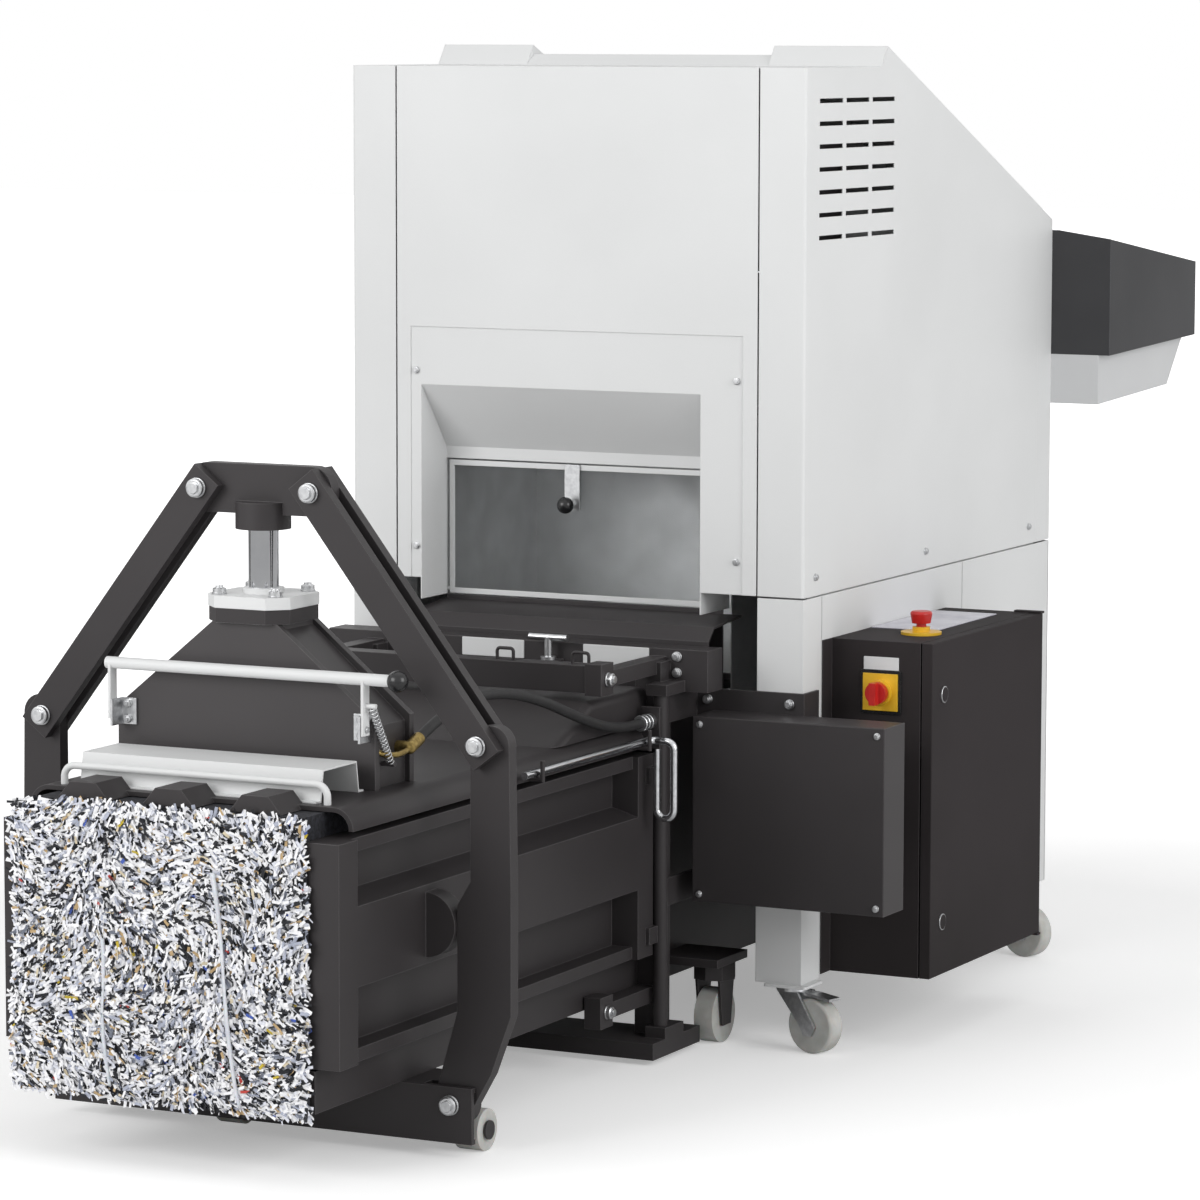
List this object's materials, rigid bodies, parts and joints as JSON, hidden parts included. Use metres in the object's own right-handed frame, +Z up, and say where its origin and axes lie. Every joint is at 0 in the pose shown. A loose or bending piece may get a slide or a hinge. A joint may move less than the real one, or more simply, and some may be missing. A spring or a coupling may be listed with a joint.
{
  "type": "recycling baler with cutting tower",
  "caption": "White cutting tower with a rear feed tray over a black channel baler: it shreds paper, presses it with a ram and squeezes the outlet walls with a hydraulic clamp.",
  "frame": {"origin": "on the floor under the middle of the machine's bounding box", "axes": "+X to the machine's right as seen from the bale outlet, +Y from the outlet towards the feed tray, +Z up"},
  "size_m": [1.238, 3.03, 1.796],
  "materials": {
    "white_coat": "fine textured powder coat",
    "black_coat": "satin black powder coat",
    "grey_coat": "light grey powder coat",
    "dark_tray": "dark textured coat",
    "bare_steel": "machined",
    "hard_chrome": "polished",
    "clear_pane": "clear sheet",
    "black_plastic": "moulded",
    "yellow_plastic": "moulded",
    "red_plastic": "moulded",
    "wheel_nylon": "moulded pale grey nylon",
    "hose_rubber": "smooth cover",
    "brass_fitting": "turned",
    "shredded_paper": "pressed shreds"
  },
  "bodies": {
    "machine": {"bale": "shredded_paper", "cabinet_body": "black_coat", "channel_floor": "black_coat", "channel_top": "black_coat", "chute_liner": "bare_steel", "cross_beam": "black_coat", "cutter_drive": "black_coat", "cutter_frame": "bare_steel", "cylinder_base": "black_coat", "cylinder_flange": "white_coat", "feed_tray": "dark_tray", "feed_tray_pan": "grey_coat", "front_panel": "white_coat", "hose_fittings": "brass_fitting", "hydraulic_cover": "black_coat", "lever_brackets": "bare_steel", "lever_spring": "bare_steel", "main_cylinder": "black_coat", "press_frame": "black_coat", "pressure_hose": "hose_rubber", "rear_panel": "white_coat", "roof": "white_coat", "side_panel_left": "white_coat", "side_panel_right": "white_coat", "sill": "black_coat", "skirt_panels": "white_coat", "stand_frame": "white_coat", "strap_guide_bar": "bare_steel", "strap_guide_tray": "white_coat", "strapping_needle": "bare_steel", "switch_mounts": "yellow_plastic", "window_surround": "white_coat"},
    "flap": {"flap_frame": "white_coat", "flap_pane": "clear_pane"},
    "upper_roller": {"cutting_roller_upper": "bare_steel"},
    "lower_roller": {"cutting_roller_lower": "bare_steel"},
    "ram": {"press_ram": "bare_steel"},
    "clamp": {"yoke": "black_coat", "clamp_rod": "hard_chrome"},
    "link_right": {"clamp_links_right": "black_coat"},
    "link_left": {"clamp_links_left": "black_coat"},
    "arm_right": {"clamp_arm_right": "black_coat"},
    "arm_left": {"clamp_arm_left": "black_coat"},
    "wall_right": {"side_wall_right": "black_coat"},
    "wall_left": {"side_wall_left": "black_coat"},
    "lever": {"hand_lever": "white_coat"},
    "door": {"cabinet_door": "black_coat"},
    "switch": {"switch_knob": "red_plastic"},
    "stop_button": {"estop_button": "red_plastic"},
    "lock": {"locking_handle": "bare_steel"},
    "baler_rollers": {"baler_wheels": "wheel_nylon"},
    "outlet_rollers": {"front_rollers": "wheel_nylon"},
    "fork_front_right": {"castor_fork_front_right": "bare_steel"},
    "wheel_front_right": {"castor_wheel_front_right": "wheel_nylon"},
    "fork_front_left": {"castor_fork_front_left": "bare_steel"},
    "wheel_front_left": {"castor_wheel_front_left": "wheel_nylon"},
    "fork_rear_right": {"castor_fork_rear_right": "bare_steel"},
    "wheel_rear_right": {"castor_wheel_rear_right": "wheel_nylon"},
    "fork_rear_left": {"castor_fork_rear_left": "bare_steel"},
    "wheel_rear_left": {"castor_wheel_rear_left": "wheel_nylon"}
  },
  "joints": [
    {"name": "flap_hinge", "type": "hinge", "parent": "machine", "child": "flap", "pos_m": [-0.039, -0.069, 0.79], "axis": [1, 0, 0], "range_deg": [0, 70]},
    {"name": "upper_roller_spin", "type": "hinge", "parent": "machine", "child": "upper_roller", "pos_m": [-0.039, 0.155, 1.2895], "axis": [1, 0, 0], "continuous": true},
    {"name": "lower_roller_spin", "type": "hinge", "parent": "machine", "child": "lower_roller", "pos_m": [-0.039, 0.155, 1.1345], "axis": [1, 0, 0], "continuous": true},
    {"name": "ram_slide", "type": "slide", "parent": "machine", "child": "ram", "axis": [0, -1, 0], "range_m": [0, 0.42]},
    {"name": "clamp_slide", "type": "slide", "parent": "machine", "child": "clamp", "axis": [0, 0, 1], "range_m": [-0.02, 0]},
    {"name": "arm_hinge_right", "type": "hinge", "parent": "machine", "child": "arm_right", "pos_m": [0.254, -1.178, 0.087], "axis": [0, 1, 0], "range_deg": [0, 2.51]},
    {"name": "link_hinge_right", "type": "hinge", "parent": "clamp", "child": "link_right", "pos_m": [0.001, -1.178, 1.076], "axis": [0, -1, 0], "range_deg": [0, 3.61]},
    {"name": "wall_hinge_right", "type": "hinge", "parent": "machine", "child": "wall_right", "pos_m": [0.215, -0.335, 0.38], "axis": [0, 0, 1], "range_deg": [0, 0.77]},
    {"name": "arm_hinge_left", "type": "hinge", "parent": "machine", "child": "arm_left", "pos_m": [-0.464, -1.178, 0.087], "axis": [0, -1, 0], "range_deg": [0, 2.51]},
    {"name": "link_hinge_left", "type": "hinge", "parent": "clamp", "child": "link_left", "pos_m": [-0.211, -1.178, 1.076], "axis": [0, 1, 0], "range_deg": [0, 3.61]},
    {"name": "wall_hinge_left", "type": "hinge", "parent": "machine", "child": "wall_left", "pos_m": [-0.425, -0.335, 0.38], "axis": [0, 0, -1], "range_deg": [0, 0.77]},
    {"name": "lever_hinge", "type": "hinge", "parent": "machine", "child": "lever", "pos_m": [-0.105, -1.266, 0.703], "axis": [1, 0, 0], "range_deg": [0, 25], "stiffness_Nm_per_rad": 4, "springref_deg": -17.19, "deforming": ["lever_spring"]},
    {"name": "door_hinge", "type": "hinge", "parent": "machine", "child": "door", "pos_m": [0.61, 0.479, 0.433], "axis": [0, 0, 1], "range_deg": [0, 120]},
    {"name": "switch_turn", "type": "hinge", "parent": "machine", "child": "switch", "pos_m": [0.517, -0.052, 0.645], "axis": [0, 1, 0], "range_deg": [0, 90]},
    {"name": "stop_press", "type": "slide", "parent": "machine", "child": "stop_button", "axis": [0, 0, -1], "range_m": [0, 0.006], "stiffness_N_per_m": 1500, "springref_m": -0.002},
    {"name": "lock_turn", "type": "hinge", "parent": "machine", "child": "lock", "pos_m": [-0.025, -0.304, 0.7], "axis": [0, 0, 1], "range_deg": [-90, 90]},
    {"name": "baler_wheel_spin", "type": "hinge", "parent": "machine", "child": "baler_rollers", "pos_m": [-0.105, -0.151, 0.05], "axis": [1, 0, 0], "continuous": true},
    {"name": "front_roller_spin", "type": "hinge", "parent": "machine", "child": "outlet_rollers", "pos_m": [-0.105, -1.1295, 0.035], "axis": [1, 0, 0], "continuous": true},
    {"name": "swivel_front_right", "type": "hinge", "parent": "machine", "child": "fork_front_right", "pos_m": [0.391, -0.149, 0.122], "axis": [0, 0, 1], "continuous": true},
    {"name": "wheel_spin_front_right", "type": "hinge", "parent": "fork_front_right", "child": "wheel_front_right", "pos_m": [0.44123, -0.16246, 0.05], "axis": [0.2588, 0.9659, 0], "continuous": true},
    {"name": "swivel_front_left", "type": "hinge", "parent": "machine", "child": "fork_front_left", "pos_m": [-0.469, -0.149, 0.122], "axis": [0, 0, 1], "continuous": true},
    {"name": "wheel_spin_front_left", "type": "hinge", "parent": "fork_front_left", "child": "wheel_front_left", "pos_m": [-0.41877, -0.16246, 0.05], "axis": [0.2588, 0.9659, 0], "continuous": true},
    {"name": "swivel_rear_right", "type": "hinge", "parent": "machine", "child": "fork_rear_right", "pos_m": [0.381, 0.906, 0.122], "axis": [0, 0, 1], "continuous": true},
    {"name": "wheel_spin_rear_right", "type": "hinge", "parent": "fork_rear_right", "child": "wheel_rear_right", "pos_m": [0.43123, 0.89254, 0.05], "axis": [0.2588, 0.9659, 0], "continuous": true},
    {"name": "swivel_rear_left", "type": "hinge", "parent": "machine", "child": "fork_rear_left", "pos_m": [-0.459, 0.906, 0.122], "axis": [0, 0, 1], "continuous": true},
    {"name": "wheel_spin_rear_left", "type": "hinge", "parent": "fork_rear_left", "child": "wheel_rear_left", "pos_m": [-0.40877, 0.89254, 0.05], "axis": [0.2588, 0.9659, 0], "continuous": true}
  ],
  "couplings": [
    {"joint": "lower_roller_spin", "follows": "upper_roller_spin", "ratio": -1},
    {"joint": "arm_hinge_right", "follows": "clamp_slide", "rad_per_m": -1.8426},
    {"joint": "link_hinge_right", "follows": "clamp_slide", "rad_per_m": -2.8024},
    {"joint": "wall_hinge_right", "follows": "clamp_slide", "rad_per_m": -0.5},
    {"joint": "arm_hinge_left", "follows": "clamp_slide", "rad_per_m": -1.8426},
    {"joint": "link_hinge_left", "follows": "clamp_slide", "rad_per_m": -2.8024},
    {"joint": "wall_hinge_left", "follows": "clamp_slide", "rad_per_m": -0.5}
  ]
}
